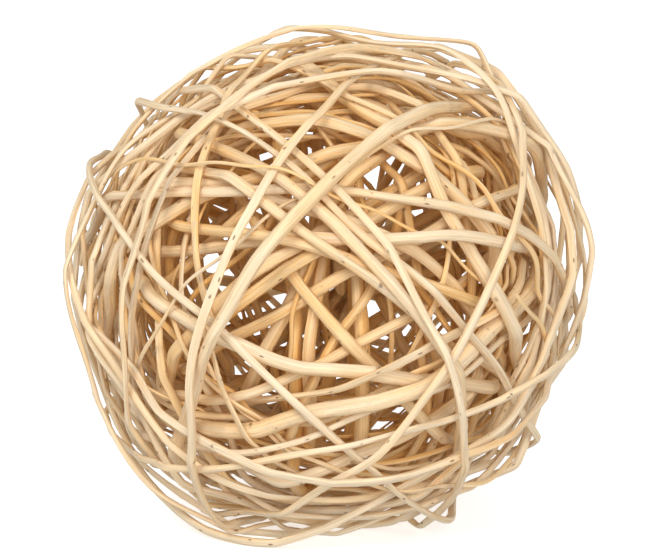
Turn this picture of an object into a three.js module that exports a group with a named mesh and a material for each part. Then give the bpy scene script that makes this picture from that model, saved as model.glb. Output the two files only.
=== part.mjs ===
// A hollow decorative ball, woven at random from peeled willow rods.
// Millimetres, +Z up. The origin is on the surface that the ball rests on, under its middle.
import * as THREE from 'three';

// ---- Driving dimensions ----
const BALL_RADIUS = 93.5;
const WALL_DEPTH = 19; // from the outside of the last rods to the outside of the first
const WALL_SHARE = 0.22; // the settled wall's depth, as a share of the ball's radius
const MAX_BOW = 0.985; // a rod that passes further out than this wouldn't cross the face
const FLAT_SINK = 2.9; // how much the ball's bottom gives
const FLAT_SHAVE = 0.45; // how much of a rod's underside is worn flat there
const SAG = 1.4; // rods this near the surface come down to lie on it
const FACE_LEAN = 11; // degrees that the face of the weave leans back
const ROD_GAP = 0.32;

// ---- One rod ----
const STEPS = 19; // straight steps in one turn
const STEP_CHANGE = 0.28; // how far a step's end may be off its even place, in steps
const SIDES = 4;
const FACE_HEIGHT = Math.cos(Math.PI / SIDES); // across a bar's flats, as a share of its corners
const TAPER = 0.16; // from butt to tip, as a share of the thickness
const SEAM_SWING = 40; // degrees that the seams are spread over, to each side of the back
const LAP = 12; // degrees that the rod's end laps past its start
const LAP_SHIFT = 1.7; // thicknesses that the lapping ends lie apart
const TUCK_DEPTH = 5; // how far the ends are tucked into the wall
const TUCK_STEPS = 2;
const KNEE_SPREAD = 11; // degrees from a knee's point to its feet
const WEAVE_RISE = 0.12; // how much a rod weaves in and out of the wall, as a share of it
const WEAVE_WAVES = 2;
const WANDER = 1.6; // how much a rod strays from its circle
const WANDER_WAVES = 3;
const FACE_REACH = 110; // degrees along a hoop from the middle of the face to past the outline
const BEHIND_COST = 60; // degrees that a place behind the outline counts as further off

// ---- Settling ----
const SETTLE_ROUNDS = 420;
const FIRM_ROUNDS = 160;
const LOOK_ROUNDS = 12; // rounds between looking again for what lies near what
const NEAR_REACH = 16; // clear distance within which two steps may come to touch
const SAME_STRETCH = 4; // steps of one rod this close along it can't touch
const TOUCH_REACH = 1.6; // rods further apart than this many times their room are left alone
const ALONGSIDE = 0.97; // cosine above which two rods run side by side, not across
const WRONG_SIDE = 0.1; // share of the distance past which a rod is on the wrong side
const MAX_PUSH = 1.5;
const FIRMNESS = 0.48;
const STIFFNESS = 0.3;
const SPRING_BACK = 0.006;
const TINY = 1e-6;

const DEG = Math.PI / 180;
const GOLDEN_ANGLE = 137.5; // spreads the rods' seams and waves evenly

// The ball isn't quite round. At these places round its outline, in degrees counter-clockwise
// from the right as the face is looked at, it stands out or falls in by `rise`, fading over
// `spread` degrees.
const LUMPS = [
  { clock: 50, rise: 6, spread: 24 },
  { clock: 115, rise: 5, spread: 12 },
  { clock: 160, rise: 7, spread: 20 },
  { clock: 250, rise: 5, spread: 16 },
  { clock: 300, rise: -3, spread: 10 },
  { clock: 345, rise: -5, spread: 18 },
];

// Every rod is one turn round the ball. It is told by where it crosses the ball's outline as the
// face is looked at: `from` and `to` are degrees round the outline, counter-clockwise from the
// right, and `bow` is how far from the middle it passes on its way across the face, as a share
// of the whole ball's radius, towards the direction halfway between the two. `depth` says how
// far out it was laid, 0 for first and 1 for last. A knee is a sharp bend that stands out of the
// ball: where it is, in degrees round the outline, and its height.
const CORE_RODS = [
  // from, to, bow, thickness, depth
  { from: -83, to: 80, bow: 0.15, thick: 6.0, depth: 0.02 },
  { from: 92, to: 257, bow: 0.09, thick: 5.0, depth: 0.06 },
  { from: 103, to: 258, bow: 0.24, thick: 5.4, depth: 0.1 },
  { from: -46, to: 115, bow: 0.27, thick: 4.0, depth: 0.12 },
  { from: 58, to: 247, bow: -0.12, thick: 3.8, depth: 0.15 },
  { from: 60, to: 238, bow: 0.1, thick: 5.4, depth: 0.2 },
  { from: 85, to: 265, bow: 0.67, thick: 4.0, depth: 0.2 },
  { from: -75, to: 105, bow: 0.4, thick: 3.4, depth: 0.25 },
  { from: -52, to: 127, bow: -0.06, thick: 4.8, depth: 0.3 },
  { from: 40, to: 214, bow: 0.22, thick: 5.0, depth: 0.3 },
  { from: 24, to: 208, bow: 0.05, thick: 4.6, depth: 0.32 },
  { from: 38, to: 205, bow: 0.2, thick: 5.0, depth: 0.36 },
  { from: -77, to: 103, bow: 0.62, thick: 3.6, depth: 0.36 },
  { from: 205, to: 377, bow: 0.3, thick: 4.0, depth: 0.38 },
  { from: -28, to: 150, bow: 0.58, thick: 5.0, depth: 0.4 },
  { from: 40, to: 195, bow: 0.5, thick: 4.4, depth: 0.42 },
  { from: 170, to: 335, bow: 0.33, thick: 5.4, depth: 0.45 },
  { from: -32, to: 165, bow: 0.25, thick: 4.6, depth: 0.48 },
  { from: 200, to: 365, bow: 0.67, thick: 4.6, depth: 0.4 },
  { from: -10, to: 152, bow: 0.12, thick: 4.2, depth: 0.5 },
  { from: 208, to: 374, bow: 0.385, thick: 6.2, depth: 0.5 },
  { from: 8, to: 176, bow: 0.145, thick: 4.6, depth: 0.55 },
  { from: -33, to: 150, bow: 0.1, thick: 4.0, depth: 0.6 },
  { from: 25, to: 195, bow: 0.53, thick: 5.0, depth: 0.58 },
  { from: -57, to: 138, bow: 0.18, thick: 4.6, depth: 0.68 },
  { from: -30, to: 103, bow: 0.56, thick: 5.2, depth: 0.7 },
  { from: -5, to: 166, bow: 0.39, thick: 4.0, depth: 0.76 },
  { from: 52, to: 232, bow: 0.27, thick: 5.2, depth: 0.86 },
  { from: 196, to: 342, bow: 0.8, thick: 3.8, depth: 0.3 },
  { from: 20, to: 165, bow: 0.78, thick: 3.6, depth: 0.34 },
];

const WRAP_RODS = [
  { from: 215, to: 372, bow: 0.33, thick: 3.4, depth: 0.45 },
  { from: 95, to: 268, bow: 0.62, thick: 3.0, depth: 0.5 },
  { from: 70, to: 210, bow: 0.745, thick: 3.4, depth: 0.55 },
  { from: 100, to: 280, bow: 0.74, thick: 3.2, depth: 0.6 },
  { from: 215, to: 358, bow: 0.52, thick: 3.0, depth: 0.62 },
  { from: 45, to: 215, bow: 0.85, thick: 3.0, depth: 0.6 },
  { from: 90, to: 225, bow: 0.72, thick: 3.2, depth: 0.8 },
  { from: -110, to: 70, bow: 0.95, thick: 2.8, depth: 0.7 },
  { from: 140, to: 320, bow: 0.975, thick: 2.8, depth: 0.75 },
  { from: 220, to: 400, bow: 0.93, thick: 3.2, depth: 0.8, knees: [[250, 6]] },
  { from: 95, to: 275, bow: 0.9, thick: 2.8, depth: 0.84 },
  { from: -40, to: 135, bow: 0.3, thick: 3.2, depth: 0.82, knees: [[134, 7]] },
  { from: 40, to: 220, bow: 0.96, thick: 2.8, depth: 0.9, knees: [[60, 9]] },
  { from: 75, to: 255, bow: 0.93, thick: 2.8, depth: 0.95, knees: [[114, 7]] },
  { from: 10, to: 190, bow: 0.885, thick: 3.2, depth: 0.95 },
  { from: 44, to: 190, bow: 0.76, thick: 2.8, depth: 0.88, knees: [[49, 10]] },
  { from: -85, to: 95, bow: 0.87, thick: 2.8, depth: 0.9 },
  { from: 142, to: 322, bow: 0.84, thick: 3.4, depth: 0.88 },
  { from: 172, to: 348, bow: 0.68, thick: 3.2, depth: 0.9 },
  { from: 222, to: 402, bow: 0.86, thick: 3.4, depth: 0.93 },
  { from: -70, to: 110, bow: 0.97, thick: 3, depth: 0.98, knees: [[22, 6], [-3, 6]] },
  { from: 67, to: 250, bow: 0.4, thick: 3.4, depth: 0.96 },
  { from: 150, to: 300, bow: 0.44, thick: 3.2, depth: 1 },
  { from: 60, to: 240, bow: 0.72, thick: 3.2, depth: 1 },
  { from: 210, to: 357, bow: 0.565, thick: 3, depth: 1, knees: [[210, 3]] },
  { from: -69, to: 130, bow: 0.28, thick: 3, depth: 0.97, knees: [[-69, 7]] },
  { from: -115, to: 53, bow: 0.55, thick: 3.4, depth: 1 },
  { from: 104, to: 262, bow: 0.86, thick: 3.2, depth: 0.66 },
  { from: -108, to: 38, bow: 0.86, thick: 3.2, depth: 0.72 },
  { from: 186, to: 330, bow: 0.9, thick: 3, depth: 0.78 },
];

// ---- The line of one rod ----

// The circle on a ball of radius 1 through the rod's two crossings of the outline and the point
// where it passes the middle of the face. Angle 0 is that point, 180 the far side of the ball.
// A rod laid early lies on a smaller ball, so its bow is a larger share of that ball's radius.
function hoopOf({ from, to, bow: wholeBow, depth }) {
  const bow = Math.min(MAX_BOW, wholeBow / (1 - WALL_SHARE * (1 - depth)));
  const middle = ((from + to) / 2) * DEG;
  const start = new THREE.Vector3(Math.cos(from * DEG), 0, Math.sin(from * DEG));
  const end = new THREE.Vector3(Math.cos(to * DEG), 0, Math.sin(to * DEG));
  const front = new THREE.Vector3(
    bow * Math.cos(middle),
    -Math.sqrt(1 - bow * bow),
    bow * Math.sin(middle),
  );
  const axis = end.sub(start).cross(front.clone().sub(start)).normalize();
  const offset = axis.dot(front);
  const across = front.addScaledVector(axis, -offset);
  const radius = across.length();
  across.normalize();
  const along = axis.clone().cross(across);
  return { axis, offset, across, along, radius };
}

function pointOnHoop(hoop, angle) {
  return hoop.axis.clone().multiplyScalar(hoop.offset)
    .addScaledVector(hoop.across, hoop.radius * Math.cos(angle * DEG))
    .addScaledVector(hoop.along, hoop.radius * Math.sin(angle * DEG));
}

// The angle along the hoop, on the face's side, that lies at `clock` degrees round the outline.
function angleAtClock(hoop, clock) {
  let best = 0;
  let least = Infinity;
  for (let angle = -FACE_REACH; angle <= FACE_REACH; angle += 1) {
    const p = pointOnHoop(hoop, angle);
    const turn = Math.atan2(p.z, p.x) / DEG - clock;
    const away = Math.abs(turn - 360 * Math.round(turn / 360)) + BEHIND_COST * Math.max(0, p.y);
    if (away < least) {
      least = away;
      best = angle;
    }
  }
  return best;
}

// The rod's turn starts on the far side and laps past its own start. A knee has a step's end at
// its point and one at each foot.
function rodAngles(hoop, rod, index) {
  const seam = 180 + SEAM_SWING * Math.sin(index * GOLDEN_ANGLE * DEG);
  const turn = 360 + LAP;
  const angles = [];
  for (let k = 0; k <= STEPS; k++) {
    const ends = k === 0 || k === STEPS;
    const change = ends ? 0 : STEP_CHANGE * Math.sin((k * k + index) * GOLDEN_ANGLE * DEG);
    angles.push(seam - 360 + (turn * (k + change)) / STEPS);
  }
  rod.kneeHeights = angles.map(() => 0);
  for (const [clock, height] of rod.knees ?? []) {
    const bend = angleAtClock(hoop, clock);
    const k = Math.round(((bend - angles[0]) / turn) * STEPS);
    angles[k - 1] = Math.max(angles[k - 1], bend - KNEE_SPREAD);
    angles[k] = bend;
    angles[k + 1] = Math.min(angles[k + 1], bend + KNEE_SPREAD);
    rod.kneeHeights[k] = height;
  }
  return angles;
}

// How much the ball stands out of round in the direction of `p`, a point on a ball of radius 1.
function lumpHeight(p) {
  const clock = Math.atan2(p.z, p.x) / DEG;
  let height = 0;
  for (const lump of LUMPS) {
    const turn = clock - lump.clock;
    const away = (turn - 360 * Math.round(turn / 360)) / lump.spread;
    height += lump.rise * Math.exp(-away * away);
  }
  return height * (p.x * p.x + p.z * p.z);
}

// Lays a rod where the weave wants it, weaving in and out, with both ends tucked inside.
function layRod(rod, index) {
  const hoop = hoopOf(rod);
  const angles = rodAngles(hoop, rod, index);
  const phase = index * GOLDEN_ANGLE;
  const innerRadius = BALL_RADIUS - WALL_DEPTH;
  rod.ranks = [];
  rod.home = angles.map((angle, k) => {
    const share = k / STEPS;
    const weave = WEAVE_RISE * Math.sin((WEAVE_WAVES * angle + phase) * DEG);
    const rank = rod.depth + weave;
    rod.ranks.push(rank);
    const endward = Math.max(0, 1 - Math.min(k, STEPS - k) / TUCK_STEPS);
    let height = innerRadius + WALL_DEPTH * Math.min(1, rank) - rod.thick / 2;
    height += rod.kneeHeights[k] - TUCK_DEPTH * endward;
    const sideways = LAP_SHIFT * rod.thick * (share - 0.5)
      + WANDER * Math.sin((WANDER_WAVES * angle + phase) * DEG);
    const place = pointOnHoop(hoop, angle);
    height += lumpHeight(place);
    return place
      .multiplyScalar(height)
      .addScaledVector(hoop.axis, sideways)
      .applyAxisAngle(new THREE.Vector3(1, 0, 0), -FACE_LEAN * DEG);
  });
  rod.line = rod.home.map((p) => p.clone());
  rod.widths = rod.home.map((p, k) => rod.thick * (1 + TAPER * (0.5 - k / STEPS)));
  return rod;
}

// ---- Settling: the rods push each other apart until each lies on what it crosses ----

const outward = new THREE.Vector3();
const between = new THREE.Vector3();
const alongA = new THREE.Vector3();
const alongB = new THREE.Vector3();
const apart = new THREE.Vector3();

// The nearest points of two straight steps, as shares of their lengths.
function nearestShares(a0, a1, b0, b1) {
  alongA.subVectors(a1, a0);
  alongB.subVectors(b1, b0);
  between.subVectors(a0, b0);
  const aa = alongA.dot(alongA);
  const bb = alongB.dot(alongB);
  const ab = alongA.dot(alongB);
  const ar = alongA.dot(between);
  const br = alongB.dot(between);
  const square = aa * bb - ab * ab;
  let s = square > TINY * aa * bb ? (ab * br - ar * bb) / square : 0.5;
  s = Math.min(1, Math.max(0, s));
  let t = (ab * s + br) / bb;
  if (t < 0 || t > 1) {
    t = Math.min(1, Math.max(0, t));
    s = Math.min(1, Math.max(0, (ab * t - ar) / aa));
  }
  return [s, t];
}

// Every two steps that lie near enough to come to touch.
function closePairs(rods) {
  const steps = [];
  rods.forEach((rod, r) => {
    for (let k = 0; k < STEPS; k++) {
      const middle = rod.line[k].clone().lerp(rod.line[k + 1], 0.5);
      const half = rod.line[k].distanceTo(rod.line[k + 1]) / 2;
      steps.push({ rod, r, k, middle, half });
    }
  });
  const pairs = [];
  for (let i = 0; i < steps.length; i++) {
    for (let j = i + 1; j < steps.length; j++) {
      const a = steps[i];
      const b = steps[j];
      const sameStretch = a.r === b.r && Math.abs(a.k - b.k) < SAME_STRETCH;
      const limit = a.half + b.half + NEAR_REACH;
      if (!sameStretch && a.middle.distanceToSquared(b.middle) < limit * limit) {
        pairs.push([a, b]);
      }
    }
  }
  return pairs;
}

// Moves two rods apart where they are too near. In their laying order, the one laid later goes
// outwards; after that, each goes the shorter way.
function partPair(a, b, inOrder) {
  const [a0, a1] = [a.rod.line[a.k], a.rod.line[a.k + 1]];
  const [b0, b1] = [b.rod.line[b.k], b.rod.line[b.k + 1]];
  const [s, t] = nearestShares(a0, a1, b0, b1);
  const room = ROD_GAP
    + THREE.MathUtils.lerp(a.rod.widths[a.k], a.rod.widths[a.k + 1], s) / 2
    + THREE.MathUtils.lerp(b.rod.widths[b.k], b.rod.widths[b.k + 1], t) / 2;
  apart.copy(between).addScaledVector(alongA, s).addScaledVector(alongB, -t);
  const distance = apart.length();
  if (distance > room * TOUCH_REACH) {
    return;
  }
  outward.copy(a0).lerp(a1, s).normalize();
  const crossing = Math.abs(alongA.dot(alongB)) < ALONGSIDE * alongA.length() * alongB.length();
  let lack = room - distance;
  if (inOrder && crossing) {
    const rankA = THREE.MathUtils.lerp(a.rod.ranks[a.k], a.rod.ranks[a.k + 1], s);
    const rankB = THREE.MathUtils.lerp(b.rod.ranks[b.k], b.rod.ranks[b.k + 1], t);
    if (rankA < rankB) {
      outward.negate();
    }
    const height = apart.dot(outward);
    if (height < -WRONG_SIDE * distance) {
      lack = room - height;
      apart.copy(outward);
    }
  }
  if (lack <= 0) {
    return;
  }
  if (apart.length() < TINY) {
    apart.copy(outward);
  }
  apart.normalize().multiplyScalar(Math.min(lack, MAX_PUSH) * FIRMNESS);
  const shareA = s * s + (1 - s) * (1 - s);
  const shareB = t * t + (1 - t) * (1 - t);
  const pull = 1 / (shareA + shareB);
  a0.addScaledVector(apart, (1 - s) * pull);
  a1.addScaledVector(apart, s * pull);
  b0.addScaledVector(apart, -(1 - t) * pull);
  b1.addScaledVector(apart, -t * pull);
}

// A bent rod springs back towards its own even curve.
function straighten(rod) {
  const moved = rod.line.map((p, k) => p.clone().sub(rod.home[k]));
  for (let k = 0; k <= STEPS; k++) {
    const before = moved[Math.max(0, k - 1)];
    const after = moved[Math.min(STEPS, k + 1)];
    const even = before.clone().add(after).multiplyScalar(0.5);
    rod.line[k].addScaledVector(even.sub(moved[k]), STIFFNESS);
    rod.line[k].addScaledVector(moved[k], -SPRING_BACK);
  }
}

// The ball sags under its own weight: its lowest rods lie along the surface it rests on.
function restOnFloor(rod, floor, sag) {
  rod.line.forEach((p, k) => {
    const level = floor + (FACE_HEIGHT * rod.widths[k]) / 2 - FLAT_SHAVE;
    if (p.z < level + sag) {
      p.z = level;
    }
  });
}

// Settles all the rods, first in their laying order and springy, then only firmly apart. Returns
// the height of the surface that the ball rests on, from the ball's middle.
function settle(rods) {
  const floor = FLAT_SINK - BALL_RADIUS;
  let pairs = [];
  for (let round = 0; round < SETTLE_ROUNDS + FIRM_ROUNDS; round++) {
    const firm = round >= SETTLE_ROUNDS;
    if (round % LOOK_ROUNDS === 0) {
      pairs = closePairs(rods);
    }
    if (!firm) {
      rods.forEach(straighten);
    }
    for (const [a, b] of pairs) {
      partPair(a, b, !firm);
    }
    rods.forEach((rod) => restOnFloor(rod, floor, firm ? 0 : SAG));
  }
  return floor;
}

// ---- Solids ----

const WILLOW = new THREE.Color(0xe0bd8a);
const FIRST_SHADE = 0.8; // the rods laid first are darker
const DOWN = new THREE.Vector3(0, 0, -1);

// A straight bar with one ring of corners for each point of the line, bent onto the line with
// its flat sides turned outwards. Where the rod lies on the floor, its underside is flat on it.
function rodSolid(rod, floor) {
  const bar = new THREE.CylinderGeometry(
    0.5, 0.5, STEPS, SIDES, STEPS, false, Math.PI / SIDES,
  );
  const corners = bar.attributes.position;
  const corner = new THREE.Vector3();
  for (let v = 0; v < corners.count; v++) {
    corner.fromBufferAttribute(corners, v);
    const k = Math.round(corner.y + STEPS / 2);
    const before = rod.line[Math.max(0, k - 1)];
    const after = rod.line[Math.min(STEPS, k + 1)];
    const heading = after.clone().sub(before).normalize();
    const lies = rod.line[k].z < floor + rod.widths[k] / 2;
    const side = heading.clone().cross(lies ? DOWN : rod.line[k]).normalize();
    const up = side.clone().cross(heading);
    const place = rod.line[k].clone()
      .addScaledVector(side, corner.x * rod.widths[k])
      .addScaledVector(up, corner.z * rod.widths[k]);
    corners.setXYZ(v, place.x, place.y, Math.max(0, place.z - floor));
  }
  bar.computeVertexNormals();
  return bar;
}

function rodMesh(rod, name, floor) {
  const shade = THREE.MathUtils.lerp(FIRST_SHADE, 1, rod.depth);
  const material = new THREE.MeshStandardMaterial({
    color: WILLOW.clone().multiplyScalar(shade),
    roughness: 0.6,
    metalness: 0,
    flatShading: true,
  });
  const mesh = new THREE.Mesh(rodSolid(rod, floor), material);
  mesh.name = name;
  return mesh;
}

// ---- The ball ----

const rods = [...CORE_RODS, ...WRAP_RODS].map(layRod);
const floor = settle(rods);

const ball = new THREE.Group();
ball.name = 'woven_ball';
rods.forEach((rod, index) => {
  const isCore = index < CORE_RODS.length;
  const number = isCore ? index + 1 : index + 1 - CORE_RODS.length;
  const name = `${isCore ? 'core_rod' : 'wrap_rod'}_${String(number).padStart(2, '0')}`;
  ball.add(rodMesh(rod, name, floor));
});

const middle = new THREE.Box3().setFromObject(ball).getCenter(new THREE.Vector3());
ball.position.set(-middle.x, -middle.y, 0);

export default ball;
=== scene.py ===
"""Dresses a hollow ball of woven rods as peeled willow.

Every rod of the fixed frame gets a round, grown shoot of its own, laid on the same line: it
tapers, swells at its buds, weaves over and under what it crosses and ends in a cut tucked into
the wall. Fine shoots that the frame hasn't got fill the wall between them.
"""

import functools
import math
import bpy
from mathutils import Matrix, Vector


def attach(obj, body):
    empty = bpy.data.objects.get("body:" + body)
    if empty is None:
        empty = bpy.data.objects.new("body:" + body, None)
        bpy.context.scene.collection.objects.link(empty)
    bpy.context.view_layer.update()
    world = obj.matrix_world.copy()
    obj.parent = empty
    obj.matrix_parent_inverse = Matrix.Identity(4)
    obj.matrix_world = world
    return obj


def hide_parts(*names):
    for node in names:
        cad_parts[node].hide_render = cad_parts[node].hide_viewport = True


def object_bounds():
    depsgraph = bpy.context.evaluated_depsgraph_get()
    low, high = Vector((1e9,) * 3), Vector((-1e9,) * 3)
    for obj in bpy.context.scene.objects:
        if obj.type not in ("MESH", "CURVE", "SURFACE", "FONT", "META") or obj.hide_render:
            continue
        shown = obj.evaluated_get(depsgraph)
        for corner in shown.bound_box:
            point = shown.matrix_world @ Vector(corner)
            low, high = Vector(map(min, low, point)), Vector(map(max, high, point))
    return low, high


bl_info = {
    "name": "Woven Willow Ball",
    "version": (1, 0, 0),
    "blender": (4, 5, 0),
    "location": "3D View > Sidebar > Willow Ball",
    "description": "Dresses the rods of a woven decorative ball as peeled willow",
    "category": "Object",
}

from collections import namedtuple

import bpy
import numpy as np
from bpy.props import FloatProperty, FloatVectorProperty, IntProperty, PointerProperty
from mathutils import Vector

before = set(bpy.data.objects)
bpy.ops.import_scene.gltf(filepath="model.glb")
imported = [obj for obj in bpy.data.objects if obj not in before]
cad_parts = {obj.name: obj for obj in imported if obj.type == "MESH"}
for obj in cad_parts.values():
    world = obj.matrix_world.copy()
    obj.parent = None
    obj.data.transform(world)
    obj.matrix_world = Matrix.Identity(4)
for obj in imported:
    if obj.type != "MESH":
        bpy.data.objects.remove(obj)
CAD_BOX = [list(corner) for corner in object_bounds()]

MM = 0.001
CORE_SLOT, WRAP_SLOT = "willow_core", "willow_wrap"
CORE_NODES = sorted(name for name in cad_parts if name.startswith("core_rod"))
WRAP_NODES = sorted(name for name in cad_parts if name.startswith("wrap_rod"))
ROD_NODES = CORE_NODES + WRAP_NODES
BALL_MIDDLE = np.array([(lo + hi) / 2 for lo, hi in zip(*CAD_BOX)]) / MM
BALL_REACH = (CAD_BOX[1][2] - CAD_BOX[0][2]) / 2 / MM

# Beside the user's seed, these give each kind of growth random numbers of its own
FINE_SEED, GROWTH_SEED, ROD_WOOD_SEED, FINE_WOOD_SEED = 300, 1000, 5000, 7000


# ---- Sizes and colours that a user would change ----


class WillowRodSettings(bpy.types.PropertyGroup):
    """How the shoots grew and how finely they are made."""

    sides: IntProperty(
        name="Sides", description="Corners round each shoot", default=12, min=6)
    ring_spacing: FloatProperty(
        name="Ring Spacing", description="Distance between two rings of corners",
        default=1.5 * MM, min=0.5 * MM, unit="LENGTH", precision=4)
    bud_spacing: FloatProperty(
        name="Bud Spacing", description="Usual distance from one bud to the next",
        default=31 * MM, min=5 * MM, unit="LENGTH", precision=4)
    bud_height: FloatProperty(
        name="Bud Height", description="How far a bud's scar stands out",
        default=0.42 * MM, min=0, unit="LENGTH", precision=5)
    sway: FloatProperty(
        name="Sway", description="How far a shoot strays from an even bend",
        default=0.8 * MM, min=0, unit="LENGTH", precision=5)
    core_flatness: FloatProperty(
        name="Core Flatness", description="How much flatter than round a thick rod may be",
        default=0.16, min=0, max=0.6, subtype="FACTOR")
    wrap_flatness: FloatProperty(
        name="Wrap Flatness", description="How much flatter than round a thin rod may be",
        default=0.42, min=0, max=0.6, subtype="FACTOR")
    split_share: FloatProperty(
        name="Split Share", description="Share of the thin rods that were split lengthwise",
        default=0.6, min=0, max=1, subtype="FACTOR")
    kinks: FloatProperty(
        name="Kinks", description="How far the rods run straight from one bend to the next",
        default=0.85, min=0, max=1, subtype="FACTOR")
    filler_count: IntProperty(
        name="Fine Shoots", description="Number of fine shoots inside the wall", default=40,
        min=0)
    seed: IntProperty(
        name="Seed", description="Picks another growth of the same kind", default=7)


class WillowColourSettings(bpy.types.PropertyGroup):
    """The colours of peeled, dried willow."""

    cream: FloatVectorProperty(
        name="Cream", description="Clean peeled wood", subtype="COLOR",
        default=(0.90, 0.72, 0.49))
    # Besides its own tone, wood deep in the wall and facing inwards is drawn nearer this colour as
    # painted shade.
    honey: FloatVectorProperty(
        name="Honey", description="Wood that has darkened in the sun", subtype="COLOR",
        default=(0.92, 0.57, 0.20))
    russet: FloatVectorProperty(
        name="Russet", description="Streaks where the inner bark stayed on", subtype="COLOR",
        default=(0.74, 0.36, 0.09))
    ash: FloatVectorProperty(
        name="Ash", description="Weathered, greyish wood", subtype="COLOR",
        default=(0.68, 0.55, 0.40))
    bark: FloatVectorProperty(
        name="Bark", description="Bud scars, specks and cut ends", subtype="COLOR",
        default=(0.13, 0.055, 0.018))


class StageSettings(bpy.types.PropertyGroup):
    """The camera, the lamps and the floor."""

    distance: FloatProperty(
        name="Camera Distance", description="From the lens to the middle of the ball",
        default=1.195, unit="LENGTH")
    height_angle: FloatProperty(
        name="Camera Height Angle", description="How far the camera looks down",
        default=math.radians(11), subtype="ANGLE")
    seen_width: FloatProperty(
        name="Seen Width", description="Width of the view at the ball's distance",
        default=0.2512, unit="LENGTH", precision=4)
    key_power: FloatProperty(
        name="Key Light", description="Power of the lamp at the upper left",
        default=9, unit="POWER")
    fill_power: FloatProperty(
        name="Fill Light", description="Power of the lamp beside the camera",
        default=9, unit="POWER")
    sky: FloatProperty(
        name="Sky", description="Brightness of the white room", default=0.54)
    floor: FloatVectorProperty(
        name="Floor", description="Colour of the floor", subtype="COLOR",
        default=(0.95, 0.95, 0.95))
    floor_glow: FloatProperty(
        name="Floor Glow", description="How much light the white floor gives off",
        default=0.58, min=0)


# ---- The frame's rods, as lines ----

RING_CORNERS = 4
WELD_STEP = 2e-6  # corners of the solid nearer than this are one corner
END_RINGS = 3  # rings that tell the thick end from the thin one
BUTT_RANK, TIP_RANK = 92, 8  # percentiles of a rod's thicknesses that its ends are given


def rod_rings(node):
    """The corners of a rod's solid in rings from one end to the other, in millimetres."""
    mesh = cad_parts[node].data
    places = np.empty(len(mesh.vertices) * 3, dtype=np.float32)
    mesh.vertices.foreach_get("co", places)
    places = places.reshape(-1, 3).astype(float)
    _, first, welded = np.unique(
        np.round(places / WELD_STEP), axis=0, return_index=True, return_inverse=True)
    corners = places[first]
    welded = welded.ravel()
    beside = [set() for _ in corners]
    for face in mesh.polygons:
        own = {int(welded[v]) for v in face.vertices}
        for corner in own:
            beside[corner] |= own - {corner}
    ends = [c for c, near in enumerate(beside) if len(near) == RING_CORNERS]
    rings, done = [{ends[0]}], {ends[0]}
    while True:
        ring = set().union(*(beside[c] for c in rings[-1])) - done
        if not ring:
            break
        done |= ring
        rings.append(ring)
    rings = rings[1:-1]
    if any(len(ring) != RING_CORNERS for ring in rings):
        raise RuntimeError(f"{node} isn't a bar of even rings")
    return np.array([[corners[c] for c in sorted(ring)] for ring in rings]) / MM


def rod_line(node):
    """A rod's middle line and its thickness along it, butt first, in millimetres."""
    rings = rod_rings(node)
    middles = rings.mean(axis=1)
    spread = np.linalg.norm(rings[:, :, None] - rings[:, None, :], axis=3)
    thickness = spread.max(axis=(1, 2))
    if thickness[:END_RINGS].sum() < thickness[-END_RINGS:].sum():
        middles, thickness = middles[::-1], thickness[::-1]
    butt, tip = np.percentile(thickness, BUTT_RANK), np.percentile(thickness, TIP_RANK)
    return middles, np.linspace(butt, tip, len(middles))


# ---- Bending the lines smoothly ----

KNEE_COSINE = math.cos(math.radians(38))  # a sharper turn than this is a knee
WEAVE_STEP = 4.5
WAVE_COUNT = 3


def slopes_of(points, sharp):
    """The line's direction into and out of each point. They differ as far as it is `sharp`."""
    chords = np.diff(points, axis=0)
    lengths = np.linalg.norm(chords, axis=1)[:, None]
    straight = chords / lengths
    even = (lengths[:-1] * straight[1:] + lengths[1:] * straight[:-1])
    even /= lengths[:-1] + lengths[1:]
    even = np.vstack([straight[:1], even, straight[-1:]])
    sharp = sharp[:, None]
    into = even + sharp * (np.vstack([straight[:1], straight]) - even)
    out = even + sharp * (np.vstack([straight, straight[-1:]]) - even)
    return into, out, lengths


def bend_through(points, sharp, step):
    """Points about `step` apart on a line through `points`, from smooth to as sharp as told.

    Also gives where each lies, counted in the points given, and which of them are knees.
    """
    into, out, lengths = slopes_of(points, sharp)
    knee = sharp == 1
    line, where, bent = [], [], []
    for k, length in enumerate(lengths[:, 0]):
        count = max(1, round(length / step))
        t = (np.arange(count) / count)[:, None]
        a, b = points[k], points[k + 1]
        line.append(
            (2 * t**3 - 3 * t**2 + 1) * a + (t**3 - 2 * t**2 + t) * length * out[k]
            + (3 * t**2 - 2 * t**3) * b + (t**3 - t**2) * length * into[k + 1])
        where.append(k + t[:, 0])
        bent.append(knee[k] & (t[:, 0] == 0))
    line.append(points[-1:])
    where.append([len(points) - 1.0])
    bent.append([False])
    return np.vstack(line), np.concatenate(where), np.concatenate(bent)


def knees_of(points):
    chords = np.diff(points, axis=0)
    chords /= np.linalg.norm(chords, axis=1)[:, None]
    turn = (chords[:-1] * chords[1:]).sum(axis=1)
    return np.concatenate([[False], turn < KNEE_COSINE, [False]])


def waves(rng, at, lengths):
    """A smooth random curve of about unit height, from sines with wavelengths `lengths`."""
    total = np.zeros_like(at)
    for _ in range(WAVE_COUNT):
        length = rng.uniform(*lengths)
        total += np.sin(2 * math.pi * (at / length + rng.uniform())) / math.sqrt(WAVE_COUNT / 2)
    return total


def arc_lengths(line):
    steps = np.linalg.norm(np.diff(line, axis=0), axis=1)
    return np.concatenate([[0], np.cumsum(steps)])


# ---- Settling the smooth rods onto each other ----

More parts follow.
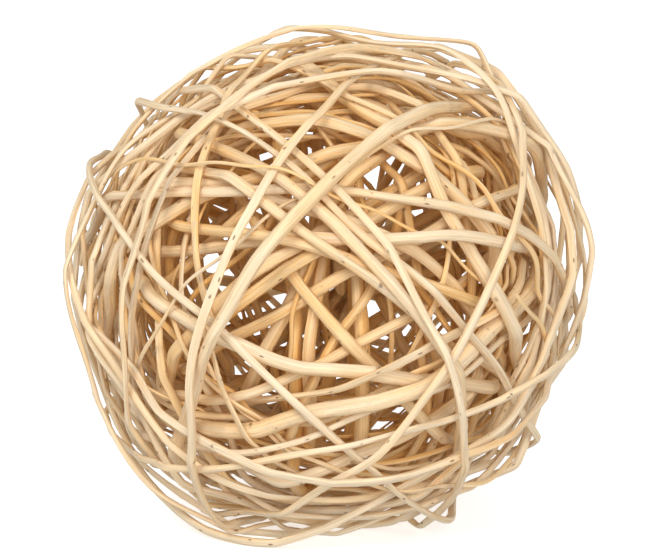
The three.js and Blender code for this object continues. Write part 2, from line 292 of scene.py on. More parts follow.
LAY_ROUNDS = 150
LAST_ROUNDS = 40  # rounds at the end in which the rods don't spring back
LOOK_ROUNDS = 20  # rounds from one search for rods that may touch to the next
TOUCH_GAP = 0.06
NEAR_MARGIN = 1.5
PAIR_BLOCK = 512  # steps that are compared with all later ones at a time
OWN_STRETCH = 7  # steps of one rod this close along it can't touch
SPRING = 0.35  # how much of an uneven push a rod evens out in a round
HOMING = 0.01  # how much of the way back to its line in the frame it goes in a round
PRESSED = 0.3  # how much of a rod's underside is pressed flat on the floor
PUSH = 0.62  # share of an overlap that each of the two rods gives way by
LEAST_WEIGHT = 0.6  # a point's pushes are divided by their weight or by this, if that is more
TINY = 1e-9
PARALLEL = 1e-6  # steps with a smaller squared sine between them are taken as parallel


def near_pairs(line, radii, steps, owner):
    """Every two steps, of different rods or of distant parts of one, that may touch."""
    middles = ((line[steps] + line[steps + 1]) / 2).astype(np.float32)
    halves = np.linalg.norm(line[steps + 1] - line[steps], axis=1) / 2 + radii[steps]
    squares = (middles**2).sum(axis=1)[:, None]
    ones = np.ones_like(squares)
    from_these = np.hstack([middles, squares, ones])
    to_those = np.hstack([-2 * middles, ones, squares])
    widest = (2 * halves.max() + NEAR_MARGIN) ** 2
    found = []
    for start in range(0, len(steps), PAIR_BLOCK):
        squared = from_these[start:start + PAIR_BLOCK] @ to_those[start:].T
        rows, columns = np.nonzero(squared < widest)
        a, b = rows + start, columns + start
        near = squared[rows, columns] < (halves[a] + halves[b] + NEAR_MARGIN) ** 2
        near &= (b > a) & ((owner[a] != owner[b]) | (b - a > OWN_STRETCH))
        found.append(steps[np.stack([a[near], b[near]])])
    return np.hstack(found)


def nearest_shares(a0, along_a, b0, along_b):
    """The nearest points of straight steps, as shares of their lengths."""
    between = a0 - b0
    aa, bb = (along_a**2).sum(axis=1), (along_b**2).sum(axis=1)
    ab = (along_a * along_b).sum(axis=1)
    ar, br = (along_a * between).sum(axis=1), (along_b * between).sum(axis=1)
    square = aa * bb - ab * ab
    crossing = (ab * br - ar * bb) / np.maximum(square, TINY)
    s = np.where(square > PARALLEL * aa * bb, crossing, 0.5)
    s = s.clip(0, 1)
    t = ((ab * s + br) / bb).clip(0, 1)
    s = ((ab * t - ar) / aa).clip(0, 1)
    return s[:, None], t[:, None], between + s[:, None] * along_a - t[:, None] * along_b


def push_apart(line, radii, pairs):
    """One round of moving apart whatever overlaps, in place."""
    i, j = pairs
    along_a, along_b = line[i + 1] - line[i], line[j + 1] - line[j]
    s, t, apart = nearest_shares(line[i], along_a, line[j], along_b)
    distance = np.linalg.norm(apart, axis=1)[:, None]
    room = TOUCH_GAP + (radii[i] + radii[j])[:, None]
    lack = (room - distance)[:, 0]
    touching = lack > 0
    i, j, s, t = i[touching], j[touching], s[touching], t[touching]
    push = apart[touching] / distance[touching] * lack[touching, None] * PUSH
    moved, weight = np.zeros_like(line), np.zeros(len(line))
    for points, share, way in ((i, 1 - s, 1), (i + 1, s, 1), (j, 1 - t, -1), (j + 1, t, -1)):
        weight += np.bincount(points, share[:, 0], minlength=len(line))
        for axis in range(3):
            moved[:, axis] += np.bincount(
                points, way * (share * push)[:, axis], minlength=len(line))
    line += moved / np.maximum(weight, LEAST_WEIGHT)[:, None]


def settle(lines, radii):
    """Lets the rods spring straight and push each other apart until they only touch."""
    owner = np.concatenate([np.full(len(line), r) for r, line in enumerate(lines)])
    line = np.vstack(lines)
    radii = np.concatenate(radii)
    home = line.copy()
    index = np.arange(len(line))
    steps = index[:-1][owner[:-1] == owner[1:]]
    before = np.where(np.isin(index - 1, steps), index - 1, index)
    after = np.where(np.isin(index, steps), index + 1, index)
    for lap in range(LAY_ROUNDS + LAST_ROUNDS):
        if lap % LOOK_ROUNDS == 0:
            pairs = near_pairs(line, radii, steps, owner[steps])
        if lap < LAY_ROUNDS:
            moved = line - home
            moved += SPRING * ((moved[before] + moved[after]) / 2 - moved)
            line = home + moved * (1 - HOMING)
        push_apart(line, radii, pairs)
        line[:, 2] = np.maximum(line[:, 2], radii - PRESSED)
    return [line[owner == r] for r in range(len(lines))]


FILLER_DEPTHS = (0.7, 0.93)  # how far out the fine shoots lie, as shares of the ball's radius
FILLER_THICKNESS = (1.5, 2.7)
FILLER_LEANS = (12, 66)  # degrees that their circles lean from the one facing the face
FILLER_OFFSET = 0.34  # how far beside the ball's middle a circle may lie, in its radii
FILLER_TURNS = 1.02
FILLER_DRIFT = 0.05  # how much the depth wanders, as a share
FILLER_WAVES = (120, 300)  # degrees round the circle in which it wanders there and back
FILLER_TAPER = (1.15, 0.8)
DEGREES = 57  # in a radian, about
OFF_AXIS = (0.3, 0.2, 1.0)  # any direction that no circle's axis takes
ROD_SWAY, ROD_WAVES = 0.6, (45, 120)
FILLER_SWAY, FILLER_SWAY_WAVES = 1.2, (30, 90)
MOST_SHARP = 0.99  # a bend as sharp as 1 is a knee


def filler_line(rng):
    """A fine shoot's circle inside the wall, which keeps clear of the middle of the face."""
    lean, turn = math.radians(rng.uniform(*FILLER_LEANS)), rng.uniform(0, 2 * math.pi)
    axis = np.array([
        math.sin(lean) * math.cos(turn), math.cos(lean), math.sin(lean) * math.sin(turn)])
    across = np.cross(axis, OFF_AXIS)
    across /= np.linalg.norm(across)
    reach = BALL_REACH * rng.uniform(*FILLER_DEPTHS)
    offset = rng.uniform(-FILLER_OFFSET, FILLER_OFFSET)
    count = int(2 * math.pi * reach / WEAVE_STEP)
    angle = np.linspace(0, 2 * math.pi * FILLER_TURNS, count) + rng.uniform(0, 2 * math.pi)
    angle = angle[:, None]
    ring = math.sqrt(1 - offset**2) * (
        np.cos(angle) * across + np.sin(angle) * np.cross(axis, across))
    depth = 1 + FILLER_DRIFT * waves(rng, angle * DEGREES, FILLER_WAVES)
    return BALL_MIDDLE + reach * depth * (ring + offset * axis)


@functools.lru_cache(maxsize=1)
def laid_rods(sway, kinks, fillers, seed):
    """Every rod's settled middle line, thickness and knees, by its name."""
    lines, radii, knees = [], [], []
    for number, node in enumerate(ROD_NODES):
        rng = np.random.default_rng([seed, number])
        points, thickness = rod_line(node)
        bends = kinks * rng.uniform(0, MOST_SHARP, len(points))
        sharp = np.where(knees_of(points), 1, bends)
        line, where, knee = bend_through(points, sharp, WEAVE_STEP)
        at = arc_lengths(line)
        for axis in range(3):
            line[:, axis] += sway * ROD_SWAY * waves(rng, at, ROD_WAVES)
        lines.append(line)
        radii.append(np.interp(where, np.arange(len(points)), thickness) / 2)
        knees.append(knee)
    names = ROD_NODES + [f"fine_shoot_{number + 1:02d}" for number in range(fillers)]
    for number in range(fillers):
        rng = np.random.default_rng([seed, FINE_SEED + number])
        line = filler_line(rng)
        at = arc_lengths(line)
        line += sway * FILLER_SWAY * np.stack(
            [waves(rng, at, FILLER_SWAY_WAVES) for _ in range(3)], axis=1)
        lines.append(line)
        thickness = np.linspace(*FILLER_TAPER, len(line)) * rng.uniform(*FILLER_THICKNESS)
        radii.append(thickness / 2)
        knees.append(np.zeros(len(line), dtype=bool))
    settled = settle(lines, radii)
    return {
        name: (line, 2 * radius, knee)
        for name, line, radius, knee in zip(names, settled, radii, knees)}


def all_rods(settings):
    return laid_rods(
        settings.sway / MM, settings.kinks, settings.filler_count, settings.seed)


# ---- One grown shoot ----

KNEE_REACH = 4.0  # how far from a knee's point its bend is rounded
KNEE_SOFTENING = 5
KNEE_YIELD = 0.5
BUD_MARGIN = 0.2  # bud spacings kept free at the ends
BUD_GAPS = (0.6, 1.45)
BUD_TURN = math.radians(144)  # round the shoot from one bud to the next
BUD_STRAY = 0.3
BUD_STRENGTHS = (0.3, 1)
BUD_LENGTH = 1.7
BUD_FOOT = 0.5  # how far a bud reaches towards the butt, as a share of that
BUD_SPREAD = 0.55  # radians round the shoot
SWELL_LENGTH = 4.5
SWELL = 0.055
RIDGES = (  # ridges round a shoot: how many, how high, how far they wander, their waves
    (3, 0.022, 0.9, (60, 200)),
    (5, 0.018, 1.4, (40, 160)),
)
SPLIT_DEPTHS = (0.35, 0.75)  # how far a split face lies from the middle, in radii
CUT_SLANTS = (0.2, 1.5)  # in radii
CUT_REACH = 3  # slants over which a slanted cut fades out
TIP_ROUNDING = 0.3
TIP_NARROWING = 0.12
GRAIN_SHIFT = 400  # moves each shoot to markings of its own
PAINTED_LIGHT_FROM, PAINTED_LIGHT_TO = 72.0, 93.0  # distances from the ball's middle over which the wood goes from painted shade to painted light
FACING_LIGHT_SHARE = 0.25  # how much of the painted light and shade hangs on which way the wood faces: outward faces paler


def soften_knees(line, bent):
    """Rounds each knee to a tight bend."""
    at = arc_lengths(line)
    close = np.zeros(len(line))
    for knee in at[bent]:
        close = np.maximum(close, (1 - np.abs(at - knee) / KNEE_REACH).clip(0, 1))
    close = np.sqrt(close[1:-1, None]) * KNEE_YIELD
    for _ in range(KNEE_SOFTENING):
        line[1:-1] += close * ((line[:-2] + line[2:]) / 2 - line[1:-1])
    return line


def shoot_frames(line):
    """The heading at each point and, square to it, the way out of the ball and sideways."""
    heading = np.gradient(line, axis=0)
    heading /= np.linalg.norm(heading, axis=1)[:, None]
    out = line - BALL_MIDDLE
    out -= (out * heading).sum(axis=1)[:, None] * heading
    out /= np.linalg.norm(out, axis=1)[:, None]
    return heading, out, np.cross(heading, out)


def bud_places(rng, length, spacing):
    """Where a shoot's buds are along it, and which way round it each one points."""
    places, turns = [], []
    at, turn = rng.uniform(BUD_MARGIN, 1) * spacing, rng.uniform(0, 2 * math.pi)
    while at < length - BUD_MARGIN * spacing:
        places.append(at)
        turns.append(turn)
        at += spacing * rng.uniform(*BUD_GAPS)
        turn += BUD_TURN + rng.normal(0, BUD_STRAY)
    return places, turns


def section(rng, at, angle, flatness, split_share):
    """A shoot's outline round each ring, in radii: flattened, uneven, and some of them split."""
    flat = flatness * rng.uniform(0.15, 1)
    lean = rng.uniform(-0.5, 0.5) + 0.5 * waves(rng, at, (120, 300))[:, None]
    shape = 1 - flat * np.cos(angle - lean) ** 2
    for count, height, wander, lengths in RIDGES:
        shape += height * np.cos(count * angle + wander * waves(rng, at, lengths)[:, None])
    if rng.uniform() < split_share:
        facing = rng.choice([0, math.pi]) + 0.7 * waves(rng, at, (150, 350))[:, None]
        face = rng.uniform(*SPLIT_DEPTHS) + 0.06 * waves(rng, at, (30, 110))[:, None]
        shape = np.minimum(shape, face / np.cos(angle - facing).clip(0.2, None))
    return shape


def grow_buds(rng, shape, at, angle, radius, settings):
    """Swells the outline at each bud, in place. Gives how strongly each corner is scarred."""
    scar = np.zeros_like(shape)
    for place, turn in zip(*bud_places(rng, at[-1], settings.bud_spacing / MM)):
        strength = rng.uniform(*BUD_STRENGTHS)
        along = at - place
        shape += SWELL * strength * np.exp(-((along / SWELL_LENGTH) ** 2))[:, None]
        round_it = np.abs((angle - turn + math.pi) % (2 * math.pi) - math.pi)
        stands = np.where(along > 0, along, along / BUD_FOOT) / BUD_LENGTH
        bud = strength * np.exp(-(stands[:, None] ** 2 + (round_it / BUD_SPREAD) ** 2))
        shape += settings.bud_height / MM * bud / radius[:, None]
        scar = np.maximum(scar, bud)
    return scar


def cut_ends(rng, corners, line, heading, at, angle, radius):
    """Cuts both ends at a slant and rounds them a little, in place."""
    for end, inwards in ((0, 1), (-1, -1)):
        slant = rng.uniform(*CUT_SLANTS) * radius[end]
        turn = rng.uniform(0, 2 * math.pi)
        from_end = np.abs(at - at[end])
        fade = (1 - from_end / (CUT_REACH * slant)).clip(0, 1)[:, None]
        pull = fade * slant * (1 + np.cos(angle - turn))
        corners += inwards * pull[..., None] * heading[:, None, :]
        rounding = np.exp(-from_end / TIP_ROUNDING)[:, None] * TIP_NARROWING
        corners += (line[:, None, :] - corners) * rounding[..., None]


Shoot = namedtuple("Shoot", "corners grain scar bleached at")


def grow_shoot(name, settings, flatness, split_share, sides, spacing):
    """One shoot's rings of corners and, for each, its place in the grain, scar and painted light
    and shade.
    """
    rods = all_rods(settings)
    rng = np.random.default_rng([settings.seed, GROWTH_SEED + list(rods).index(name)])
    settled, thickness, knee = rods[name]
    line, where, bent = bend_through(settled, knee.astype(float), spacing)
    line = soften_knees(line, bent)
    at = arc_lengths(line)
    heading, out, side = shoot_frames(line)
    radius = np.interp(where, np.arange(len(settled)), thickness) / 2
    radius *= 0.985 + 0.03 * waves(rng, at, (25, 90))

    angle = np.linspace(0, 2 * math.pi, sides, endpoint=False)[None, :]
    shape = section(rng, at, angle, flatness, split_share)
    scar = grow_buds(rng, shape, at, angle, radius, settings)
    reach = radius[:, None] * shape
    outwards, sideways = reach * np.cos(angle), reach * np.sin(angle)
    corners = line[:, None, :] + (
        outwards[..., None] * out[:, None, :] + sideways[..., None] * side[:, None, :])
    along = np.broadcast_to(at[:, None], reach.shape)
    grain = np.stack([outwards, sideways, along], axis=-1)
    cut_ends(rng, corners, line, heading, at, angle, radius)
    corners[..., 2] = np.maximum(corners[..., 2], 0)
    grain += rng.uniform(-GRAIN_SHIFT, GRAIN_SHIFT, 3)

    # Painted light and shade: wood far from the ball's middle and facing outwards is marked to be
    # drawn paler, deeper and inward-facing wood darker.
    height = np.linalg.norm(corners - BALL_MIDDLE, axis=2)
    painted_light = ((height - PAINTED_LIGHT_FROM) / (PAINTED_LIGHT_TO - PAINTED_LIGHT_FROM)).clip(0, 1)
    painted_light = painted_light * (1 - FACING_LIGHT_SHARE) + FACING_LIGHT_SHARE * (0.5 + 0.5 * np.cos(angle))
    return Shoot(corners, grain, scar, painted_light, at)


# ---- Shoots as meshes ----

MAP_NAME = "OFBake"
MAP_MARGIN = 0.06  # share of a strip's width left free beside it
CAP_BAND = 0.035  # share of the map kept for the two cut ends
CAP_FILL = 0.42
BUTT_PLACE, TIP_PLACE = 0.05, 0.15  # where the two cut ends lie along their band
SHARP_EDGE = math.radians(37)


def strip_map(at, girth, sides):
    """Map places of a shoot's side faces: its length cut into strips that fill a square."""
    length = at[-1]
    strips = max(1, round(math.sqrt(length / girth)))
    strip_of = np.minimum((at[:-1] / length * strips).astype(int), strips - 1)
    start = np.array([at[:-1][strip_of == s].min() for s in range(strips)])
    stop = np.array([at[1:][strip_of == s].max() for s in range(strips)])
    longest = (stop - start).max()
    height = (1 - CAP_BAND) / strips
    u0 = (at[:-1] - start[strip_of]) / longest
    u1 = (at[1:] - start[strip_of]) / longest
    edge = height * MAP_MARGIN / 2
    around = np.arange(sides + 1) / sides * (height - 2 * edge) + edge
    v0 = strip_of[:, None] * height + around[None, :-1]
    v1 = strip_of[:, None] * height + around[None, 1:]
    u0, u1 = (np.broadcast_to(u[:, None], v0.shape) for u in (u0, u1))
    return np.stack([
        np.stack([u0, v0], -1), np.stack([u1, v0], -1),
        np.stack([u1, v1], -1), np.stack([u0, v1], -1)], axis=2)


def cap_map(sides, place):
    """Map places of one cut end's triangles, a small round near the top of the map."""
    size = CAP_BAND * CAP_FILL
    angle = np.linspace(0, 2 * math.pi, sides + 1)
    rim = np.stack([place + size * np.cos(angle), 1 - CAP_BAND / 2 + size * np.sin(angle)], -1)
    middle = np.broadcast_to([place, 1 - CAP_BAND / 2], (sides, 2))
    return np.stack([middle, rim[:-1], rim[1:]], axis=1)


def shoot_mesh(name, shoot, kind):
    """A shoot as a closed mesh, with its grain, growth and kind as attributes; growth also carries
    the painted light and shade.
    """
    corners, grain, scar, painted_light, at = shoot
    rings, sides = scar.shape
    ring = np.arange(rings - 1)[:, None] * sides
    this, following = np.arange(sides)[None, :], (np.arange(sides) + 1)[None, :] % sides
    walls = np.stack([
        ring + this, ring + sides + this, ring + sides + following, ring + following], axis=2)
    butt, tip = rings * sides, rings * sides + 1
    last = (rings - 1) * sides
    butt_cap = np.stack([np.full(sides, butt), this[0], following[0]], axis=1)
    tip_cap = np.stack([np.full(sides, tip), last + following[0], last + this[0]], axis=1)
    points = np.vstack([corners.reshape(-1, 3), corners[0].mean(0), corners[-1].mean(0)]) * MM
    mesh = bpy.data.meshes.new(name)
    faces = walls.reshape(-1, 4).tolist() + butt_cap.tolist() + tip_cap.tolist()
    mesh.from_pydata(points.tolist(), [], faces)
    smooth = np.ones(len(faces), dtype=bool)
    smooth[-2 * sides:] = False
    mesh.polygons.foreach_set("use_smooth", smooth)
    mesh.set_sharp_from_angle(angle=SHARP_EDGE)

    girth = 2 * math.pi * np.linalg.norm(corners - corners.mean(1, keepdims=True), axis=2).mean()
    places = np.concatenate([
        strip_map(at, girth, sides).reshape(-1, 2),
        cap_map(sides, BUTT_PLACE).reshape(-1, 2), cap_map(sides, TIP_PLACE).reshape(-1, 2)])
    mesh.uv_layers.new(name=MAP_NAME).data.foreach_set("uv", places.ravel())

    cut = np.zeros(rings * sides + 2)
    cut[-2:] = 1
    # Growth holds the bud scars, the cut ends and the painted light and shade, which is 1 where
    # wood lies far out and faces outwards.
    end_painted_light = [painted_light[0].mean(), painted_light[-1].mean()]
    growth = np.stack([
        np.append(scar.ravel(), [0, 0]), cut, np.append(painted_light.ravel(), end_painted_light)], -1)
    for attribute, values in (
            ("grain", np.vstack([grain.reshape(-1, 3), grain[0].mean(0), grain[-1].mean(0)])),
            ("growth", growth),
            ("kind", np.broadcast_to(kind, (len(cut), 3)))):
        layer = mesh.attributes.new(attribute, "FLOAT_VECTOR", "POINT")
        layer.data.foreach_set("vector", np.ascontiguousarray(values, dtype=float).ravel())
    mesh.validate()
    return mesh


def add_piece(name, mesh, material, slot, *nodes):
    """Puts a finished mesh in the scene as a piece that stands for the nodes."""
    piece = bpy.data.objects.new(name, mesh)
    bpy.context.collection.objects.link(piece)
    mesh.materials.append(material)
    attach(piece, "root")
    if nodes:
        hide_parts(*nodes)
    return piece


# ---- Shader maths ----


class Sock:
    """A node's output, or a plain number, that adds Math nodes when it is reckoned with."""

    def __init__(self, tree, value):
        self.tree, self.value = tree, value

    def node(self, kind, settings, *values, **named):
        """Adds a node: its type, its settings, then its sockets in order or by name."""
        made = self.tree.nodes.new(kind)
        for key, setting in settings.items():
            setattr(made, key, setting)
        sockets = [s for s in made.inputs if s.enabled]
        chosen = list(zip(sockets, values))
        chosen += [(made.inputs[key.replace("_", " ")], value) for key, value in named.items()]
        for socket, value in chosen:
            if isinstance(value, Sock):
                value = value.value
            if isinstance(value, bpy.types.NodeSocket):
                self.tree.links.new(value, socket)
            elif value is not None:
                socket.default_value = value
        outputs = [s for s in made.outputs if s.enabled]
        return Sock(self.tree, outputs[0])

    def output(self, name):
        """Another output of the node that this one comes from."""
        return Sock(self.tree, self.value.node.outputs[name])

    def math(self, operation, *values, clamp=False):
        return self.node(
            "ShaderNodeMath", {"operation": operation, "use_clamp": clamp}, *values)

    def __add__(self, other):
        return self.math("ADD", self, other)

    def __sub__(self, other):
        return self.math("SUBTRACT", self, other)

    def __rsub__(self, other):
        return self.math("SUBTRACT", other, self)

    def __mul__(self, other):
        return self.math("MULTIPLY", self, other)

    __radd__, __rmul__ = __add__, __mul__

    def step(self, low, high):
        """0 below `low`, 1 above `high`, smooth between."""
        return self.node(
            "ShaderNodeMapRange", {"interpolation_type": "SMOOTHSTEP"}, self, low, high, 0.0, 1.0)

    def mix(self, first, second):
        """Goes from one colour to the other as this value goes from 0 to 1."""
        return self.node("ShaderNodeMix", {"data_type": "RGBA"}, self, *(
            (*c, 1) if isinstance(c, tuple) else c for c in (first, second)))

    def scaled(self, x, y, z):
        """This vector with each part multiplied."""
        return self.node(
            "ShaderNodeVectorMath", {"operation": "MULTIPLY"}, self, (x, y, z))

    def noise(self, detail, roughness=0.5):
        """Noise of size 1 over this vector, about 0.5."""
        return self.node(
            "ShaderNodeTexNoise", {}, Vector=self, Scale=1.0, Detail=detail, Roughness=roughness)


def new_material(name):
    """An empty material, its tree's first socket maker and its surface shader."""
    material = bpy.data.materials.new(name)
    material.use_nodes = True
    tree = material.node_tree
    tree.nodes.clear()
    shader = tree.nodes.new("ShaderNodeBsdfPrincipled")
    output = tree.nodes.new("ShaderNodeOutputMaterial")
    tree.links.new(shader.outputs["BSDF"], output.inputs["Surface"])
    return material, Sock(tree, None), shader


def feed(shader, socket, value):
    value.tree.links.new(value.value, shader.inputs[socket])


# How often the wood's markings repeat across, across and along the grain, in each millimetre
FIBRE_GRAIN = (1.5, 1.5, 0.05)
STREAK_GRAIN = (0.55, 0.55, 0.02)
PATCH_GRAIN = (0.14, 0.14, 0.022)
MOTTLE_GRAIN = (0.6, 0.6, 0.25)
SPECK_GRAIN = (0.34, 0.34, 0.1)
SPECKLED_GRAIN = (0.3, 0.3, 0.09)

FRESHNESS = 0.12  # how honey-coloured the palest wood is
PAINTED_LIGHT_STRENGTH = 0.6  # how much of its honey colour the outermost, outward-facing wood loses, as painted light
FIBRE_SHADES = (0.82, 0.24)  # the darkest fibre's brightness, and how much more the palest has
SHEEN = 0.3


def attribute_parts(sock, name):
    """The three numbers that a mesh keeps under one name."""
    vector = sock.node("ShaderNodeAttribute", {"attribute_name": name}).output("Vector")
    parts = sock.node("ShaderNodeSeparateXYZ", {}, vector)
    return parts, parts.output("Y"), parts.output("Z")


def speck_mask(sock, grain):
    """1 in small dark dots, which stand in some stretches of the wood only."""
    cells = sock.node(
        "ShaderNodeTexVoronoi", {"feature": "F1"}, Vector=grain.scaled(*SPECK_GRAIN), Scale=1.0)
    dots = 1 - cells.step(0.07, 0.13)
    return dots * grain.scaled(*SPECKLED_GRAIN).noise(1.0).step(0.48, 0.54)


def willow(name, colours, darkness):
    """Peeled willow. `darkness` is how far the wood has gone from cream to honey."""
    material, sock, shader = new_material(name)
    cream, honey, russet, ash, bark = (
        tuple(c) for c in (colours.cream, colours.honey, colours.russet, colours.ash, colours.bark))
    grain = sock.node("ShaderNodeAttribute", {"attribute_name": "grain"}).output("Vector")
    # The third part of growth is painted light and shade, read from depth in the wall and facing.
    scar, cut, painted_light = attribute_parts(sock, "growth")
    warmth, greyness, wear = attribute_parts(sock, "kind")

    fibres = grain.scaled(*FIBRE_GRAIN).noise(3.0, 0.6)
    streaks = grain.scaled(*STREAK_GRAIN).noise(3.0, 0.55)
    patches = grain.scaled(*PATCH_GRAIN).noise(2.0)
    mottle = grain.scaled(*MOTTLE_GRAIN).noise(3.0, 0.6)
    specks = speck_mask(sock, grain)

    age = patches.step(0.32, 0.7) * 0.4 + streaks.step(0.35, 0.72) * 0.25 + warmth * 0.55
    # Painted light and shade: far-out, outward-facing wood loses honey colour and is drawn paler,
    # deeper wood stays darker.
    age = sock.math("ADD", age, darkness + FRESHNESS - painted_light * PAINTED_LIGHT_STRENGTH, clamp=True)
    colour = age.mix(cream, honey)
    colour = (age.step(0.6, 1.1) * 0.55).mix(colour, russet)
    colour = (streaks.step(0.56, 0.74) * (wear * 0.6 + 0.1)).mix(colour, russet)
    colour = (mottle.step(0.5, 0.75) * greyness).mix(colour, ash)
    darkest, palest = FIBRE_SHADES
    colour = sock.node(
        "ShaderNodeVectorMath", {"operation": "SCALE"}, colour,
        Scale=fibres.step(0.3, 0.7) * palest + darkest)
    colour = (specks * 0.75).mix(colour, bark)
    colour = (scar.step(0.3, 0.7) * 0.7).mix(colour, bark)
    feed(shader, "Base Color", (cut * 0.5).mix(colour, honey))

    feed(shader, "Roughness", fibres * 0.2 + 0.5 + mottle * 0.1)
    height = fibres * 0.16 + streaks * 0.22 + mottle * 0.1 - specks * 0.15
    feed(shader, "Normal", sock.node(
        "ShaderNodeBump", {}, Strength=1.0, Distance=MM, Height=height))
    shader.inputs["Specular IOR Level"].default_value = SHEEN
    return material


# ---- Operators ----


# How far each kind of shoot's wood has gone from cream to honey
CORE_DARKNESS, WRAP_DARKNESS, FINE_DARKNESS = 0.2, 0.05, 0.35


def kind_of_wood(rng):
    """How warm, how grey and how streaked one shoot's wood is."""
    return rng.beta(1.6, 2.2), rng.uniform(0, 1) ** 3 * 0.8, rng.uniform(0, 1) ** 1.5


def weave_rods(context, nodes, slot, material, flatness, split_share):
    """Grows a shoot for every node and replaces the node with it."""
    settings = context.scene.willow_rods
    for node in nodes:
        rng = np.random.default_rng([settings.seed, ROD_WOOD_SEED, int(node[-2:]), ord(node[0])])
        grown = grow_shoot(
            node, settings, flatness, split_share, settings.sides, settings.ring_spacing / MM)
        name = node.replace("rod", "shoot")
        mesh = shoot_mesh(name, grown, kind_of_wood(rng))
        add_piece(name, mesh, material, slot, node)


class WILLOWBALL_OT_core_rods(bpy.types.Operator):
    """Grow the thick rods that were laid first"""

    bl_idname = "willow_ball.core_rods"
    bl_label = "Core Rods"
    bl_options = {"REGISTER", "UNDO"}

    def execute(self, context):
        material = willow("core_willow", context.scene.willow_colours, CORE_DARKNESS)
        settings = context.scene.willow_rods
        weave_rods(context, CORE_NODES, CORE_SLOT, material, settings.core_flatness, 0)
        return {"FINISHED"}


class WILLOWBALL_OT_wrap_rods(bpy.types.Operator):
    """Grow the thin rods that were laid last"""

    bl_idname = "willow_ball.wrap_rods"
    bl_label = "Wrap Rods"
    bl_options = {"REGISTER", "UNDO"}

    def execute(self, context):
        material = willow("wrap_willow", context.scene.willow_colours, WRAP_DARKNESS)
        settings = context.scene.willow_rods
        weave_rods(
            context, WRAP_NODES, WRAP_SLOT, material, settings.wrap_flatness,
            settings.split_share)
        return {"FINISHED"}


FINE_SIDES = 8
FINE_SPACING = 2.6


class WILLOWBALL_OT_fine_shoots(bpy.types.Operator):
    """Grow the fine shoots that fill the wall between the rods"""

    bl_idname = "willow_ball.fine_shoots"
    bl_label = "Fine Shoots"
    bl_options = {"REGISTER", "UNDO"}

    def execute(self, context):
        settings = context.scene.willow_rods
        material = willow("fine_willow", context.scene.willow_colours, FINE_DARKNESS)
        for name in list(all_rods(settings))[len(ROD_NODES):]:
            rng = np.random.default_rng([settings.seed, FINE_WOOD_SEED, int(name[-2:])])
            grown = grow_shoot(
                name, settings, settings.wrap_flatness, settings.split_share, FINE_SIDES,
                FINE_SPACING)
            mesh = shoot_mesh(name, grown, kind_of_wood(rng))
            add_piece(name, mesh, material, CORE_SLOT)
        return {"FINISHED"}


FLOOR_SIZE = 12.0
FLOOR_ROUGHNESS = 0.9
KEY_PLACE, KEY_SIZE, KEY_COLOUR = (-0.55, -1.1, 1.0), 0.45, (1, 0.98, 0.95)
FILL_PLACE, FILL_SIZE, FILL_COLOUR = (0.3, -1.35, 0.45), 0.6, (1, 1, 1)
SENSOR_WIDTH = 36.0
FARTHEST_SEEN = 50
AIM_SHIFT = (-0.0015, 0, -0.0003)  # from the ball's middle to the middle of the view


def area_lamp(name, place, aim, size, power, colour):
    """A square soft lamp that shines from one place at another."""
    lamp = bpy.data.lights.new(name, "AREA")
    lamp.shape = "SQUARE"
    lamp.size = size
    lamp.energy = power
    lamp.color = colour
    holder = bpy.data.objects.new(name, lamp)
    bpy.context.collection.objects.link(holder)
    holder.location = place
    holder.rotation_euler = (Vector(aim) - Vector(place)).to_track_quat("-Z", "Y").to_euler()


def white_floor(stage):
    """A wide white floor, hidden from diffuse rays so that it doesn't brighten the underside."""
    mesh = bpy.data.meshes.new("floor")
    half = FLOOR_SIZE / 2
    corners = [(-half, -half, 0), (half, -half, 0), (half, half, 0), (-half, half, 0)]
    mesh.from_pydata(corners, [], [(0, 1, 2, 3)])
    floor = bpy.data.objects.new("floor", mesh)
    bpy.context.collection.objects.link(floor)
    material, _, shader = new_material("pale_floor")
    shader.inputs["Base Color"].default_value = (*stage.floor, 1)
    shader.inputs["Roughness"].default_value = FLOOR_ROUGHNESS
    shader.inputs["Emission Color"].default_value = (1, 1, 1, 1)
    shader.inputs["Emission Strength"].default_value = stage.floor_glow
    mesh.materials.append(material)
    floor.visible_diffuse = False


def white_room(scene, brightness):
    world = bpy.data.worlds.new("white_room")
    scene.world = world
    world.use_nodes = True
    background = world.node_tree.nodes["Background"]
    background.inputs["Color"].default_value = (1, 1, 1, 1)
    background.inputs["Strength"].default_value = brightness


def set_camera(scene, stage, middle):
    camera = bpy.data.cameras.new("camera")
    camera.sensor_width = SENSOR_WIDTH
    camera.lens = SENSOR_WIDTH * stage.distance / stage.seen_width
    camera.clip_end = FARTHEST_SEEN
    holder = bpy.data.objects.new("camera", camera)
    bpy.context.collection.objects.link(holder)
    away = Vector((0, -math.cos(stage.height_angle), math.sin(stage.height_angle)))
    holder.location = middle + Vector(AIM_SHIFT) + away * stage.distance
    holder.rotation_euler = (-away).to_track_quat("-Z", "Y").to_euler()
    scene.camera = holder


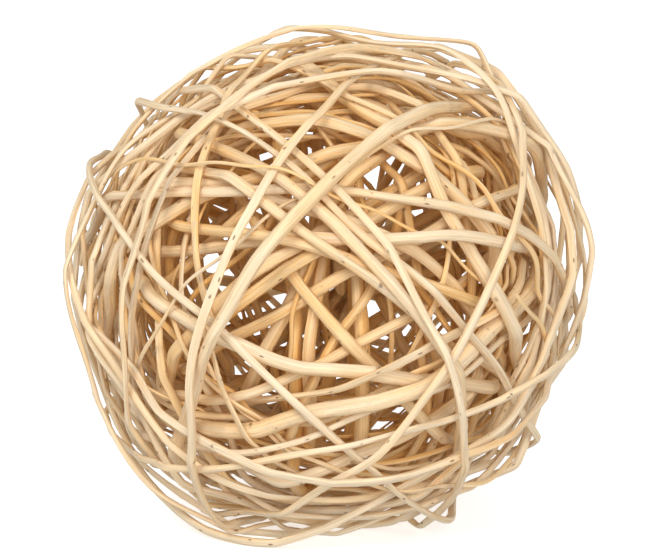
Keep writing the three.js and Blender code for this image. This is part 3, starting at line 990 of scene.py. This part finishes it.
class WILLOWBALL_OT_stage(bpy.types.Operator):
    """Set the floor, the lamps and the camera"""

    bl_idname = "willow_ball.stage"
    bl_label = "Stage"
    bl_options = {"REGISTER", "UNDO"}

    def execute(self, context):
        stage = context.scene.willow_stage
        middle = Vector([(lo + hi) / 2 for lo, hi in zip(*CAD_BOX)])
        white_floor(stage)
        white_room(context.scene, stage.sky)
        area_lamp("key", KEY_PLACE, middle, KEY_SIZE, stage.key_power, KEY_COLOUR)
        area_lamp("fill", FILL_PLACE, middle, FILL_SIZE, stage.fill_power, FILL_COLOUR)
        set_camera(context.scene, stage, middle)
        context.scene.view_settings.view_transform = "Standard"
        return {"FINISHED"}


class WILLOWBALL_PT_panel(bpy.types.Panel):
    """Lists the ball's makers"""

    bl_label = "Woven Willow Ball"
    bl_idname = "WILLOWBALL_PT_panel"
    bl_space_type = "VIEW_3D"
    bl_region_type = "UI"
    bl_category = "Willow Ball"

    def draw(self, context):
        for operator in OPERATORS:
            self.layout.operator(operator.bl_idname)
        for group in ("willow_rods", "willow_colours", "willow_stage"):
            settings = getattr(context.scene, group)
            for key in settings.__annotations__:
                self.layout.prop(settings, key)


SETTINGS = {
    "willow_rods": WillowRodSettings,
    "willow_colours": WillowColourSettings,
    "willow_stage": StageSettings,
}
OPERATORS = (
    WILLOWBALL_OT_core_rods, WILLOWBALL_OT_wrap_rods, WILLOWBALL_OT_fine_shoots,
    WILLOWBALL_OT_stage)
CLASSES = (*SETTINGS.values(), *OPERATORS, WILLOWBALL_PT_panel)


def register():
    for cls in CLASSES:
        bpy.utils.register_class(cls)
    for name, group in SETTINGS.items():
        setattr(bpy.types.Scene, name, PointerProperty(type=group))


def unregister():
    for name in SETTINGS:
        delattr(bpy.types.Scene, name)
    for cls in reversed(CLASSES):
        bpy.utils.unregister_class(cls)


def main():
    register()
    bpy.ops.willow_ball.core_rods()
    bpy.ops.willow_ball.wrap_rods()
    bpy.ops.willow_ball.fine_shoots()
    bpy.ops.willow_ball.stage()


if __name__ == "__main__":
    main()
